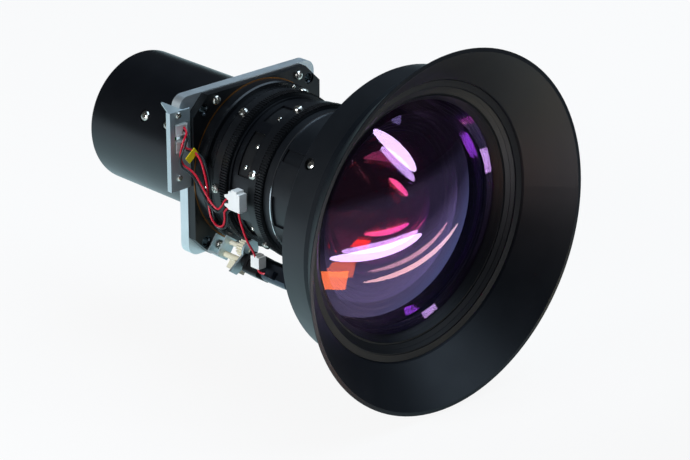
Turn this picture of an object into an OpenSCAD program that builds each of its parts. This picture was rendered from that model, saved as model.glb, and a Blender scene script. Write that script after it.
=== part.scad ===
// Motorised short-throw projection lens with a wide front hood.
// +X runs forward along the optical axis, +Z is up, and x = 0 is the rear
// face of the square base plate, which seats on the projector.

/* [Mounting plates] */
// Width and height of the square base plate
plate_w = 100; // [94:1:120]
// Thickness of the base plate
plate_t = 7; // [5:0.5:10]
// Corner radius of the base plate
plate_corner_r = 7; // [3:0.5:10]
// Step in from each edge of the base plate to the front plate
front_inset = 0.5; // [0.1:0.1:1.5]
// Thickness of the front plate
front_t = 5.7; // [4.5:0.1:8]
// Leg of the chamfer on each corner of the front plate
front_chamfer = 11.5; // [6:0.5:13]
// Distance from an edge of the base plate to the nearest fixing holes
hole_edge = 9; // [8:0.5:11]
// Radius of the four fixing holes
hole_r = 2.25; // [1.5:0.05:2.6]
// Outer radius of the steel insert round each fixing hole
insert_r = 3.6; // [3:0.1:4.2]
// Depth of the inserts below the face of the front plate
insert_sink = 0.8; // [0.3:0.1:2]

/* [Rear barrel] */
// Step from the guide barrel's radius down to the rear barrel's
tube_step = 2.6; // [2.3:0.1:4]
// Wall of the rear barrel
tube_wall = 2.4; // [2:0.1:3]
// Length of the rear barrel behind the base plate
tube_len = 94.2; // [80:0.1:140]
// Depth of the open mouth behind the rear element
mouth_depth = 10; // [9:0.5:14]
// Centre thickness of the rear element
rear_glass_t = 12; // [11:0.5:16]
// Surface radius of the rear element, as a share of its edge radius
rear_glass_share = 2.857; // [2.73:0.001:4.7]

/* [Flange and guide barrel] */
// Width of the flange ring beyond the guide barrel
flange_w = 6; // [5.3:0.1:7.5]
// Thickness of the flange ring
flange_t = 7.7; // [5:0.1:9]
// Length of the collar between flange ring and zoom ring
collar_len = 4.3; // [3:0.1:7]
// Outer radius of the guide barrel
barrel_r = 43.5; // [43:0.1:44.2]
// Wall of the guide barrel
barrel_wall = 2; // [1.7:0.1:2.2]
// Length of guide barrel between the two gear rings
bay_len = 18; // [17:0.5:24]
// Length of the windows in the guide barrel
window_len = 9.4; // [7:0.1:11]

/* [Gear rings] */
// Number of teeth on each gear ring
ring_teeth = 180; // [180:20:180]
// Height of the pitch circle above the guide barrel
gear_rise = 3.3; // [3.3:0.1:3.5]
// Length of the toothed band
tooth_len = 5.2; // [4:0.1:6]
// Length of the smooth band
band_len = 6.5; // [6:0.1:8]
// Height of the smooth band above the guide barrel
band_rise = 3.1; // [2.8:0.1:3.3]
// Number of teeth on each pinion
pinion_teeth = 18; // [18:18:18]
// Turn of each gear ring either way from rest, in degrees
ring_turn = 30; // [15:1:32]
// Travel of the zoom group either way from rest
zoom_travel = 5; // [3:0.5:5.5]
// Travel of the focus group either way from rest
focus_travel = 4; // [2:0.5:5]

/* [Front barrel and housing] */
// Step from the guide barrel's radius up to the front barrel's
front_step = 1; // [0.7:0.1:1.5]
// Length of the front barrel up to the front housing
front_barrel_len = 44.2; // [42:0.1:60]
// Height of the polished trim ring above the front barrel
trim_rise = 0.6; // [0.5:0.1:2.5]
// Width of the polished trim ring
trim_w = 0.8; // [0.6:0.1:2.5]
// Length of the conical back of the front housing
cone_len = 17.8; // [16:0.1:24]
// Width of the front housing beyond the glass, at the rear edge of its drum
drum_w = 19.4; // [18.6:0.1:23]
// Rise of the drum's radius from its rear to its front edge
drum_rise = 1.8; // [1.1:0.1:4]
// Length of the drum of the front housing
drum_len = 19.7; // [18.5:0.1:26]

/* [Front glass and hood] */
// Radius of the front element
glass_r = 67; // [64:0.5:68]
// Radius of the front element's front surface, as a share of its outer radius
glass_front_share = 1.567; // [1.52:0.001:1.86]
// Radius of the front element's rear surface, as a share of its outer radius
glass_rear_share = 1.194; // [1.135:0.001:1.28]
// Centre thickness of the front element
glass_t = 6.8; // [5:0.1:9]
// Flare of the hood from the drum's radius to its rim
hood_flare = 17.8; // [14:0.1:23]
// Length of the hood's cone
hood_len = 20.7; // [18:0.1:26]
// Wall of the hood
hood_wall = 2.2; // [1.6:0.1:3]
// Width of the plain band at the root of the hood
hood_band = 3.5; // [2.5:0.1:5]

/* [Motor drives] */
// Radius of each motor can
motor_r = 6.5; // [5.5:0.1:7]
// Length of each motor can
motor_len = 20; // [16:0.5:20.5]
// Length of each gearbox
gearbox_len = 18; // [14:0.5:20]
// Thickness of the zinc plate that carries each gearbox
drive_plate_t = 1.5; // [1:0.1:2]
// Radius of each nylon spacer rod
rod_r = 1.8; // [1.4:0.1:2]

/* [Board and leads] */
// Thickness of the zinc sheet of the board bracket
sheet_t = 1; // [0.8:0.1:1.2]
// Reach of the board bracket beyond the base plate's ear
bracket_reach = 10; // [9.5:0.1:11]
// Height of the front flange of the board bracket
bracket_h = 48.5; // [47:0.5:50]
// Thickness of the circuit board
board_t = 1.6; // [1.2:0.1:2]
// Diameter of the insulated leads
lead_d = 1.3; // [1:0.1:1.4]

/* [Hidden] */
$fn = 96;

// Clearances shared by mating parts
overrun = 1;             // how far every cut runs past the face it opens
moving_gap = 0.3;        // between a part that turns or slides and its guide
shaft_gap = 0.05;        // radial play of a pinion shaft in its hole
seat_gap = 0.1;          // between a lens or plug and the seat round it

// Places along the optical axis, in the order of assembly
front_x = plate_t;
flange_x = front_x + front_t;
collar_x = flange_x + flange_t;
zoom_x = collar_x + collar_len + moving_gap;
zoom_teeth_x = zoom_x + band_len;
zoom_end_x = zoom_teeth_x + tooth_len;
bay_x = zoom_end_x + moving_gap;
focus_x = bay_x + bay_len + moving_gap;
focus_teeth_x = focus_x + band_len;
focus_end_x = focus_teeth_x + tooth_len;
front_barrel_x = focus_end_x + moving_gap;
trim_ahead = 1.2;
trim_x = front_barrel_x + collar_len + trim_ahead;
housing_x = front_barrel_x + front_barrel_len;
drum_x = housing_x + cone_len;
drum_end_x = drum_x + drum_len;
rim_x = drum_end_x + hood_band + hood_len;

// Radii that follow the guide barrel
tube_r = barrel_r - tube_step;
flange_r = barrel_r + flange_w;
band_r = barrel_r + band_rise;
front_barrel_r = barrel_r + front_step;
trim_r = front_barrel_r + trim_rise;
barrel_in_r = barrel_r - barrel_wall;
sleeve_r = barrel_in_r - moving_gap;
sleeve_wall = 1.8;
sleeve_in_r = sleeve_r - sleeve_wall;
cell_r = sleeve_in_r - 1.5 * moving_gap;
tube_in_r = tube_r - tube_wall;

// Radii that follow the front glass
drum_rear_r = glass_r + drum_w;
drum_front_r = drum_rear_r + drum_rise;
hood_r = drum_front_r + hood_flare;
glass_front_curve = glass_r * glass_front_share;
glass_rear_curve = glass_r * glass_rear_share;

// Gear sizes: pitch radii, module, addendum and dedendum
pitch_r = barrel_r + gear_rise;
tooth_module = 2 * pitch_r / ring_teeth;
pinion_pitch_r = tooth_module * pinion_teeth / 2;
tooth_tip = tooth_module;
tooth_root = 1.25 * tooth_module;
centre_r = pitch_r + pinion_pitch_r;
// Half widths of a tooth as shares of the pitch, with the height as a share of tip and root:
// straight flanks on the large rings, bent ones on the small pinions
rack_profile_shares = [[0.30, -1], [0.12, 1]];
pinion_profile_shares = [[0.27, -1], [0.215, 0], [0.10, 1]];
ring_in_r = barrel_r + moving_gap;

// Screw heads: radius and height of the larger and the smaller size
screw_r = 2.75;
screw_h = 2;
small_screw_r = 1.9;
small_screw_h = 1.3;
shank_share = 0.5;
slot_share = 0.22;

module along_axis(x = 0) {
    translate([x, 0, 0]) rotate([90, 0, 90]) children();
}

// A turned part: points are [radius, x]
module turned(points) {
    along_axis() rotate_extrude() polygon(points);
}

module tube(x0, x1, outer, inner) {
    turned([[inner, x0], [outer, x0], [outer, x1], [inner, x1]]);
}

// A piece of tube between two angles, measured from +Y towards +Z
module arc_tube(x0, x1, outer, inner, from, to) {
    along_axis(x0) rotate_extrude(angle = to - from, start = from)
        translate([inner, 0]) square([outer - inner, x1 - x0]);
}

module disc(x0, x1, r) {
    along_axis(x0) cylinder(h = x1 - x0, r = r);
}

// Children stand on a barrel at an angle, with local +Z pointing outwards
module stand_on(x, r, angle) {
    rotate([angle, 0, 0]) translate([x, r, 0]) rotate([-90, 0, 0]) children();
}

// Pan-head screw with a cross recess, seated at z = 0, its shank running down
module pan_screw(r, h, shank) {
    difference() {
        union() {
            rotate_extrude() polygon([[0, 0], [r, 0], [r, h * 0.45], [r * 0.85, h * 0.8],
                [r * 0.5, h], [0, h]]);
            translate([0, 0, -shank]) cylinder(h = shank + h * shank_share, r = r * shank_share);
        }
        for (turn = [0, 90])
            rotate([0, 0, turn]) translate([-r * shank_share, -r * slot_share / 2, h * shank_share])
                cube([2 * r * shank_share, r * slot_share, h]);
    }
}

// Points [radius, x] along a spherical face from its pole at x_pole out to an edge radius.
// A positive curve puts the centre behind the face, a negative one in front of it.
arc_steps = 14;

function dome(x_pole, curve, edge) = [for (i = [0:arc_steps])
    let (r = edge * i / arc_steps)
    [r, x_pole - curve + sign(curve) * sqrt(pow(curve, 2) - pow(r, 2))]];

function reversed(list) = [for (i = [len(list) - 1:-1:0]) list[i]];

// Lens turned from the outline of its rear face, its edge and its front face
module lens(rear_pole, rear_curve, rear_edge, front_pole, front_curve, front_edge) {
    turned(concat(dome(rear_pole, rear_curve, rear_edge),
        reversed(dome(front_pole, front_curve, front_edge))));
}

module biconvex(x_mid, thickness, edge_r, curve_r) {
    lens(x_mid - thickness / 2, -curve_r, edge_r, x_mid + thickness / 2, curve_r, edge_r);
}

// Outline of a spur gear with its first tooth at the given angle
module gear_outline(teeth, first_angle, profile_shares) {
    r_pitch = tooth_module * teeth / 2;
    rising = [for (p = profile_shares) [-p[0], p[1]]];
    polygon([for (tooth = [0:teeth - 1], p = concat(rising, reversed(profile_shares)))
        let (angle = first_angle + (tooth + p[0]) * 360 / teeth)
        (r_pitch + (p[1] < 0 ? p[1] * tooth_root : p[1] * tooth_tip)) * [cos(angle), sin(angle)]]);
}

// Base plate and front plate

hole_place = plate_w / 2 - hole_edge;
front_half = plate_w / 2 - front_inset;
plate_bore_r = tube_r + seat_gap;
// Ear at the side of the base plate, which carries the board bracket
ear_w = 5;
ear_low = -5;

module at_corners(y, z) {
    for (side_y = [-1, 1], side_z = [-1, 1])
        translate([0, side_y * y, side_z * z]) children();
}

module base_plate() {
    half = plate_w / 2;
    corner = half - plate_corner_r;
    color("silver") difference() {
        union() {
            translate([0, -half, -corner]) cube([plate_t, plate_w, 2 * corner]);
            translate([0, -corner, -half]) cube([plate_t, 2 * corner, plate_w]);
            at_corners(corner, corner) disc(0, plate_t, plate_corner_r);
            translate([0, -half - ear_w, ear_low]) cube([plate_t, half, corner - ear_low]);
            translate([0, -corner - ear_w, ear_low]) cube([plate_t, corner, half - ear_low]);
            translate([0, -corner - ear_w, corner]) disc(0, plate_t, plate_corner_r);
        }
        disc(-overrun, plate_t + overrun, plate_bore_r);
        at_corners(hole_place, hole_place) disc(-overrun, plate_t + overrun, hole_r);
        at_corners(plate_screw_y, plate_screw_z)
            disc(plate_t - screw_grip, plate_t + overrun, screw_r * shank_share);
    }
}

module front_plate() {
    clipped = front_half - front_chamfer;
    color("#26282c") difference() {
        along_axis(front_x) linear_extrude(front_t) polygon([
            [-front_half, -clipped], [-clipped, -front_half], [clipped, -front_half],
            [front_half, -clipped], [front_half, clipped], [clipped, front_half],
            [-clipped, front_half], [-front_half, clipped]]);
        disc(front_x - overrun, flange_x + overrun, plate_bore_r);
        at_corners(hole_place, hole_place) disc(front_x - overrun, flange_x + overrun, insert_r);
        at_corners(plate_screw_y, plate_screw_z)
            disc(front_x - overrun, flange_x + overrun, screw_r * shank_share);
        for (place = flange_screw_angles)
            stand_flange_screw(place) translate([0, 0, -flange_t - screw_grip])
                cylinder(h = screw_grip + overrun, r = flange_head_r * shank_share);
    }
}

// Threaded steel sleeves that line the fixing holes of the front plate
module corner_inserts() {
    color("silver") at_corners(hole_place, hole_place)
        difference() {
            turned([[hole_r, front_x], [insert_r, front_x], [insert_r, flange_x - insert_sink],
                [insert_r - insert_sink, flange_x - insert_sink], [hole_r, flange_x - 2 * insert_sink]]);
        }
}

plate_screw_y = 32;
plate_screw_z = 45;
screw_grip = 3;
flange_screw_angles = [63, 183, 303];
flange_screw_inset = 2.05;
flange_screw_r = flange_r - flange_screw_inset;
flange_head_r = 1.1;
flange_head_h = 0.9;

module stand_flange_screw(angle) {
    rotate([angle, 0, 0]) translate([collar_x, flange_screw_r, 0]) rotate([0, 90, 0]) children();
}

module plate_screws() {
    color("gainsboro") {
        for (side_y = [-1, 1], side_z = [-1, 1])
            translate([side_z < 0 ? flange_x + sheet_t : flange_x,
                side_y * plate_screw_y, side_z * plate_screw_z])
                rotate([0, 90, 0]) pan_screw(screw_r, screw_h, front_t + screw_grip);
        for (place = flange_screw_angles)
            stand_flange_screw(place) pan_screw(flange_head_r, flange_head_h, flange_t + screw_grip);
    }
}

collar_r = band_r - 0.8 * tooth_tip;

module flange_ring() {
    edge = 0.8;
    color("#222428") difference() {
        turned([[barrel_r, flange_x], [flange_r, flange_x], [flange_r, collar_x - edge],
            [flange_r - edge, collar_x], [collar_r, collar_x],
            [collar_r, collar_x + collar_len], [barrel_r, collar_x + collar_len]]);
        for (place = flange_screw_angles)
            stand_flange_screw(place) translate([0, 0, -flange_t - overrun])
                cylinder(h = flange_t + 2 * overrun, r = flange_head_r * shank_share);
    }
}

// Rear barrel with its glass

rear_end_x = -tube_len;
rear_ring_x = rear_end_x + mouth_depth;
rear_ring_len = 4;
rear_glass_x = rear_ring_x + rear_ring_len;
rear_glass_curve = tube_in_r * rear_glass_share;
rear_glass_sag = rear_glass_curve - sqrt(pow(rear_glass_curve, 2) - pow(tube_in_r, 2));
rear_ledge_x = rear_glass_x + rear_glass_t - rear_glass_sag;
ledge_len = 3;
ledge_step = 2.6;
tube_screw_places = [-48.4, -27.6];
tube_screw_angle = 150.5;
tube_screw_r = 3.1;
tube_sink = 1.2;
relay_from_x = -62;
relay_to_x = -14;
relay_wall = 3.4;
relay_glass_x = -38;
relay_glass_t = 13;

module rear_barrel() {
    edge = 0.6;
    color("#24262a") difference() {
        turned([[tube_in_r, rear_end_x], [tube_r - edge, rear_end_x], [tube_r, rear_end_x + edge],
            [tube_r, flange_x], [barrel_in_r - seat_gap, flange_x], [barrel_in_r - seat_gap, collar_x],
            [tube_in_r, collar_x], [tube_in_r, rear_ledge_x + ledge_len],
            [tube_in_r - ledge_step, rear_ledge_x + ledge_len],
            [tube_in_r - ledge_step, rear_ledge_x], [tube_in_r, rear_ledge_x]]);
        for (place = tube_screw_places) stand_on(place, tube_r - tube_sink, tube_screw_angle) {
            cylinder(h = tube_sink + overrun, r = tube_screw_r + insert_sink);
            translate([0, 0, -tube_wall]) cylinder(h = 2 * tube_wall, r = tube_screw_r * shank_share);
        }
    }
}

module rear_barrel_screws() {
    color("gainsboro") for (place = tube_screw_places)
        stand_on(place, tube_r - tube_sink, tube_screw_angle)
            pan_screw(tube_screw_r, screw_h, tube_wall - tube_sink + relay_wall / 2);
}

module rear_retaining_ring() {
    notch_w = 3;
    notch_depth = 1.5;
    color("#1d1e21") difference() {
        turned([[tube_in_r - ledge_step, rear_ring_x], [tube_in_r, rear_ring_x],
            [tube_in_r, rear_glass_x - seat_gap],
            [tube_in_r - ledge_step, rear_glass_x - ledge_step / 2]]);
        for (turn = [0, 180]) rotate([turn, 0, 0])
            translate([rear_ring_x - overrun, -notch_w / 2, 0])
                cube([notch_depth + overrun, notch_w, tube_r]);
    }
}

// Convex towards the mouth, with a flat front that sits on the ledge
module rear_element() {
    color("lightsteelblue", 0.6) turned(concat(
        dome(rear_ledge_x - rear_glass_t, -rear_glass_curve, tube_in_r - seat_gap),
        [[tube_in_r - seat_gap, rear_ledge_x], [0, rear_ledge_x]]));
}

// Cell and lens inside the rear barrel, held by the two screws in its side
module relay_cell() {
    color("#2c2e33") difference() {
        tube(relay_from_x, relay_to_x, tube_in_r - seat_gap, tube_in_r - relay_wall);
        for (place = tube_screw_places) stand_on(place, tube_in_r - relay_wall / 2, tube_screw_angle)
            cylinder(h = relay_wall, r = tube_screw_r * shank_share);
    }
}

module relay_lens() {
    color("lightsteelblue", 0.6)
        biconvex(relay_glass_x, relay_glass_t, tube_in_r - relay_wall, rear_glass_curve);
}

// Guide barrel with its shoulders, windows, drive slots and straight grooves

pin_r = 1.5;
slot_half = pin_r + moving_gap;
slot_turn = ring_turn + 4;
zoom_pin_x = zoom_x + band_len / 2;
focus_pin_x = focus_x + band_len / 2;
zoom_screw_angle = 121.7;
focus_screw_angle = 101.7;
screw_step = 60;
pin_step = 120;
follower_angles = [60, 180, 300];
groove_depth = 1.3;
shoulder_len = 1.5;
shoulder_rise = 1.1;
shoulder_r = barrel_r + shoulder_rise;
window_inset = 4;
window_x = bay_x + shoulder_len + window_inset;
// Windows as [from, to] angles, and each cover screw as [angle, share of the window's length]
windows = [[98, 120.5], [130.5, 167], [205, 225]];
cover_screw_shares = [[112.5, 0.84], [141.2, 0.82], [159.6, 0.5], [215, 0.5]];
cover_sink = 1.2;
zoom_group_ahead = 7.3;
zoom_group_x = zoom_end_x + zoom_group_ahead;
focus_group_ahead = 10.2;
focus_group_x = front_barrel_x + focus_group_ahead;

module drive_slots(x, first_angle) {
    for (turn = [0:pin_step:359])
        arc_tube(x - slot_half, x + slot_half, barrel_r + overrun, barrel_in_r - overrun,
            first_angle + turn - slot_turn, first_angle + turn + slot_turn);
}

module follower_grooves(x, travel) {
    for (angle = follower_angles) rotate([angle, 0, 0])
        translate([x - travel - slot_half, 0, -slot_half])
            cube([2 * (travel + slot_half), barrel_in_r + groove_depth, 2 * slot_half]);
}

module guide_barrel() {
    color("#2a2c31") difference() {
        turned([[barrel_in_r, flange_x], [barrel_r, flange_x], [barrel_r, bay_x],
            [shoulder_r, bay_x], [shoulder_r, bay_x + shoulder_len],
            [barrel_r, bay_x + shoulder_len], [barrel_r, focus_x - moving_gap - shoulder_len],
            [shoulder_r, focus_x - moving_gap - shoulder_len], [shoulder_r, focus_x - moving_gap],
            [barrel_r, focus_x - moving_gap], [barrel_r, front_barrel_x],
            [barrel_in_r, front_barrel_x]]);
        drive_slots(zoom_pin_x, zoom_screw_angle);
        drive_slots(focus_pin_x, focus_screw_angle);
        follower_grooves(zoom_group_x, zoom_travel);
        for (span = windows)
            arc_tube(window_x, window_x + window_len, barrel_r + overrun, barrel_in_r - overrun,
                span[0], span[1]);
    }
}

// Curved plates that close the windows, one small screw or two in each
module window_covers() {
    color("#141518") difference() {
        for (span = windows)
            arc_tube(window_x, window_x + window_len, barrel_r - cover_sink, barrel_in_r,
                span[0], span[1]);
        for (spot = cover_screw_shares)
            stand_on(window_x + spot[1] * window_len, barrel_in_r - overrun, spot[0])
                cylinder(h = barrel_wall + overrun, r = cover_screw_r * shank_share);
    }
}

cover_screw_r = 1.4;

module cover_screws() {
    color("gainsboro") for (spot = cover_screw_shares)
        stand_on(window_x + spot[1] * window_len, barrel_r - cover_sink, spot[0])
            pan_screw(cover_screw_r, cover_sink, barrel_wall - cover_sink);
}

// The two gear rings and the cam sleeves that they turn

module gear_ring(x) {
    lip = 0.5;
    difference() {
        turned([[ring_in_r, x], [band_r - lip, x], [band_r, x + lip],
            [band_r, x + band_len], [ring_in_r, x + band_len]]);
        children();
    }
    along_axis(x + band_len) linear_extrude(tooth_len) difference() {
        gear_outline(ring_teeth, 180 / ring_teeth, rack_profile_shares);
        circle(r = ring_in_r);
    }
}

module ring_screw_holes(x, first_angle) {
    for (turn = [0:screw_step:359]) stand_on(x, barrel_r, first_angle + turn)
        cylinder(h = band_r - barrel_r + overrun, r = pin_r);
}

// Six screws round a ring: every second one is long and turns the cam sleeve
module ring_screws(x, first_angle) {
    for (turn = [0:screw_step:359]) stand_on(x, band_r, first_angle + turn)
        pan_screw(screw_r, screw_h, ring_screw_shank(turn));
}

function ring_screw_shank(turn) =
    turn % pin_step == 0 ? band_r - sleeve_r + sleeve_wall / 2 : band_r - ring_in_r;

module cam_sleeve(x0, x1, pin_x, first_angle, group_x, travel) {
    steps = 8;
    rise = atan(travel / (sleeve_r * ring_turn * PI / 180));
    piece = sleeve_r * ring_turn * PI / 180 / steps;
    difference() {
        tube(x0, x1, sleeve_r, sleeve_in_r);
        for (turn = [0:pin_step:359]) stand_on(pin_x, 0, first_angle + turn)
            cylinder(h = sleeve_r + overrun, r = pin_r);
        for (angle = follower_angles, step = [-steps:steps])
            stand_on(group_x + step / steps * travel, sleeve_in_r - overrun,
                angle - step / steps * ring_turn)
                rotate([0, 0, -rise]) translate([-slot_half, -piece, 0])
                    cube([2 * slot_half, 2 * piece, sleeve_wall + 2 * overrun]);
    }
}

// Sliding cell: a ring with a seat for its lens and a hole for each follower
module sliding_cell(x, half_len, bore_r) {
    lip = 1.2;
    difference() {
        turned([[bore_r, x - half_len], [cell_r - lip, x - half_len], [cell_r, x - half_len + lip],
            [cell_r, x + half_len - lip], [cell_r - lip, x + half_len], [bore_r, x + half_len]]);
        for (angle = follower_angles) stand_on(x, cell_r - follower_grip, angle)
            cylinder(h = follower_grip + overrun, r = pin_r);
    }
}

module followers(x) {
    for (angle = follower_angles) stand_on(x, cell_r - follower_grip, angle)
        cylinder(h = barrel_in_r + groove_depth - moving_gap - cell_r + follower_grip, r = pin_r);
}

follower_grip = 3;
zoom_sleeve_ahead = 1.6;
zoom_sleeve_x = collar_x + zoom_sleeve_ahead;
zoom_sleeve_reach = 16.5;
zoom_sleeve_end_x = bay_x + zoom_sleeve_reach;
sleeve_space = 2;
focus_sleeve_x = zoom_sleeve_end_x + sleeve_space;
focus_sleeve_reach = 20;
focus_sleeve_end_x = front_barrel_x + focus_sleeve_reach;
zoom_cell_half = 6.5;
zoom_cell_wall = 5.95;
zoom_lens_r = cell_r - zoom_cell_wall;
zoom_lens_t = 13.5;
zoom_curve_share = 2.788;
zoom_curve = zoom_lens_r * zoom_curve_share;
focus_cell_half = 5.5;
focus_cell_wall = 4.95;
focus_lens_r = cell_r - focus_cell_wall;
focus_lens_t = 11.5;
focus_curve_share = 3.471;
focus_curve = focus_lens_r * focus_curve_share;

module zoom_ring() {
    color("#2b2d32") gear_ring(zoom_x) ring_screw_holes(zoom_pin_x, zoom_screw_angle);
}

module zoom_ring_screws() {
    color("gainsboro") ring_screws(zoom_pin_x, zoom_screw_angle);
}

module zoom_cam_sleeve() {
    color("#8f8a6a") cam_sleeve(zoom_sleeve_x, zoom_sleeve_end_x, zoom_pin_x, zoom_screw_angle,
        zoom_group_x, zoom_travel);
}

module zoom_cell() {
    color("#1e2024") sliding_cell(zoom_group_x, zoom_cell_half, zoom_lens_r);
}

module zoom_lens() {
    color("lightsteelblue", 0.6) biconvex(zoom_group_x, zoom_lens_t, zoom_lens_r, zoom_curve);
}

module zoom_followers() {
    color("goldenrod") followers(zoom_group_x);
}

module focus_ring() {
    color("#2b2d32") gear_ring(focus_x) ring_screw_holes(focus_pin_x, focus_screw_angle);
}

module focus_ring_screws() {
    color("gainsboro") ring_screws(focus_pin_x, focus_screw_angle);
}

module focus_cam_sleeve() {
    color("#8f8a6a") cam_sleeve(focus_sleeve_x, focus_sleeve_end_x, focus_pin_x, focus_screw_angle,
        focus_group_x, focus_travel);
}

module focus_cell() {
    color("#1e2024") sliding_cell(focus_group_x, focus_cell_half, focus_lens_r);
}

module focus_lens() {
    color("lightsteelblue", 0.6) biconvex(focus_group_x, focus_lens_t, focus_lens_r, focus_curve);
}

module focus_followers() {
    color("goldenrod") followers(focus_group_x);
}

// Front barrel, with the polished trim ring and the pads and recesses on its side

collar_drop = 0.3;
front_collar_r = trim_r - collar_drop;
front_collar_end = trim_x;
recess_space = 0.6;
recess_x = trim_x + trim_w + recess_space;
recess_len = 15;
recess_depth = 1.2;
// Recesses in the side of the front barrel, as [from, to] angles
recesses = [[135, 145], [172, 196], [315, 325]];
bore_reach = 1;
front_bore_end_x = housing_x + bore_reach;
second_seat_depth = 18;
second_seat_x = housing_x - second_seat_depth;
second_inset = 5.5;
second_r = front_barrel_r - second_inset;
second_step = 2.2;

module front_barrel() {
    color("#30333a") difference() {
        turned([[barrel_in_r, front_barrel_x], [front_collar_r, front_barrel_x],
            [front_collar_r, front_collar_end], [front_barrel_r, front_collar_end],
            [front_barrel_r, front_bore_end_x], [second_r + seat_gap, front_bore_end_x],
            [second_r + seat_gap, second_seat_x], [second_r - second_step, second_seat_x],
            [second_r - second_step, second_seat_x - ledge_len],
            [barrel_in_r, second_seat_x - ledge_len]]);
        follower_grooves(focus_group_x, focus_travel);
        for (span = recesses)
            arc_tube(recess_x, recess_x + recess_len, front_barrel_r + overrun,
                front_barrel_r - recess_depth, span[0], span[1]);
    }
}

module trim_ring() {
    color("white") tube(trim_x, trim_x + trim_w, trim_r, front_barrel_r);
}

second_t = 16;
second_curve_share = 1.59;
second_hollow_share = 1.9;
second_curve = second_r * second_curve_share;
second_hollow = second_r * second_hollow_share;
second_sag = second_hollow - sqrt(pow(second_hollow, 2) - pow(second_r - second_step, 2));
cone_ring_len = 5;

// Second element of the front group: a meniscus behind the front element
module second_element() {
    color("lightsteelblue", 0.6) turned(concat(
        dome(second_seat_x + second_sag, second_hollow, second_r - second_step),
        [[second_r, second_seat_x]],
        reversed(dome(second_seat_x + second_t, second_curve, second_r))));
}

// Threaded ring that holds the second element and shades its edge
module inner_cone_ring() {
    face_x = second_seat_x + second_t - second_curve
        + sqrt(pow(second_curve, 2) - pow(second_r - second_step, 2)) + seat_gap;
    color("#17181b") turned([[second_r - second_step, face_x], [second_r + seat_gap, face_x],
        [second_r + seat_gap, face_x + cone_ring_len], [second_r, face_x + cone_ring_len]]);
}

// Front housing: conical back, tapered drum and the stepped seat of the front element

housing_back_rise = 7.5;
housing_back_r = front_barrel_r + housing_back_rise;
housing_floor = 5;
glass_seat_depth = 3.3;
glass_seat_x = drum_x - glass_seat_depth;
glass_edge_t = 5.5;
glass_ledge = 4;
ring_seat_w = 5.2;
ring_seat_r = glass_r + ring_seat_w;
baffle_depth = 7.2;
baffle_x = drum_x + baffle_depth;
drum_wall = 5;
baffle_seat_r = drum_front_r - drum_wall;
housing_screw_angle = 145;
housing_screw_ahead = 5.7;
housing_screw_x = drum_x + housing_screw_ahead;
housing_screw_sink = 2.2;
housing_screw_step = 90;

module housing_screw_seats() {
    for (turn = [0:housing_screw_step:359])
        stand_on(housing_screw_x, drum_rear_r - housing_screw_sink, housing_screw_angle + turn)
            children();
}

module front_housing() {
    inner_back_rise = 3;
    inner_back_r = front_barrel_r + inner_back_rise;
    color("#33363d") difference() {
        turned([[front_barrel_r, housing_x], [housing_back_r, housing_x],
            [drum_rear_r - housing_screw_sink, drum_x - housing_screw_sink], [drum_rear_r, drum_x],
            [drum_front_r, drum_end_x], [baffle_seat_r, drum_end_x], [baffle_seat_r, baffle_x],
            [ring_seat_r, baffle_x], [ring_seat_r, glass_seat_x + glass_edge_t],
            [glass_r + seat_gap, glass_seat_x + glass_edge_t], [glass_r + seat_gap, glass_seat_x],
            [glass_r - glass_ledge, glass_seat_x], [glass_r - glass_ledge, glass_seat_x - housing_floor],
            [inner_back_r, housing_x + housing_floor], [front_barrel_r, housing_x + housing_floor]]);
        housing_screw_seats() {
            cylinder(h = screw_h + 2 * housing_screw_sink, r = screw_r + insert_sink);
            translate([0, 0, -screw_grip]) cylinder(h = 2 * screw_grip, r = screw_r * shank_share);
        }
    }
}

module housing_screws() {
    color("gainsboro") housing_screw_seats() pan_screw(screw_r, screw_h, screw_grip - seat_gap);
}

glass_face_x = glass_seat_x + glass_edge_t;
front_centre_x = glass_face_x - sqrt(pow(glass_front_curve, 2) - pow(glass_r, 2));
glass_apex_x = front_centre_x + glass_front_curve;

module front_element() {
    rear_pole = glass_apex_x - glass_t;
    hollow_r = sqrt(pow(glass_rear_curve, 2) - pow(glass_rear_curve - rear_pole + glass_seat_x, 2));
    color("mediumpurple", 0.7) turned(concat(
        dome(rear_pole, glass_rear_curve, hollow_r), [[glass_r, glass_seat_x]],
        reversed(dome(glass_apex_x, glass_front_curve, glass_r))));
}

ring_lip = 1.6;
ring_lip_r = glass_r - ring_lip;
ring_face_x = front_centre_x + sqrt(pow(glass_front_curve, 2) - pow(ring_lip_r, 2)) + seat_gap;

// Threaded ring that holds the front element, with fine steps towards the glass
module front_retaining_ring() {
    rise = (baffle_x - ring_face_x) / 4;
    width = (ring_seat_r - ring_lip_r) / 4;
    color("#202227") turned([[ring_lip_r, ring_face_x], [ring_seat_r, ring_face_x],
        [ring_seat_r, baffle_x], [ring_lip_r + 3 * width, baffle_x],
        for (i = [3:-1:1]) each [
            [ring_lip_r + i * width, ring_face_x + (i + 1) * rise - rise / 2],
            [ring_lip_r + (i - 1) * width, ring_face_x + i * rise]],
        ]);
}

// Stepped baffle ring between the glass and the hood
module baffle_ring() {
    steps = 4;
    width = (baffle_seat_r - seat_gap - ring_seat_r) / (steps + 1);
    rise = (drum_end_x - baffle_x) / (steps + 0.5);
    inner_r = ring_seat_r - width / 2;
    color("#26282d") turned(concat(
        [[inner_r, baffle_x], [baffle_seat_r - seat_gap, baffle_x],
            [baffle_seat_r - seat_gap, drum_end_x]],
        [for (i = [steps:-1:1]) each [
            [inner_r + (i + 0.5) * width, baffle_x + (i + 0.5) * rise],
            [inner_r + (i + 0.5) * width, baffle_x + i * rise],
            [inner_r + i * width, baffle_x + i * rise - rise / 2]]],
        [[inner_r, baffle_x + rise / 4]]));
}

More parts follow.
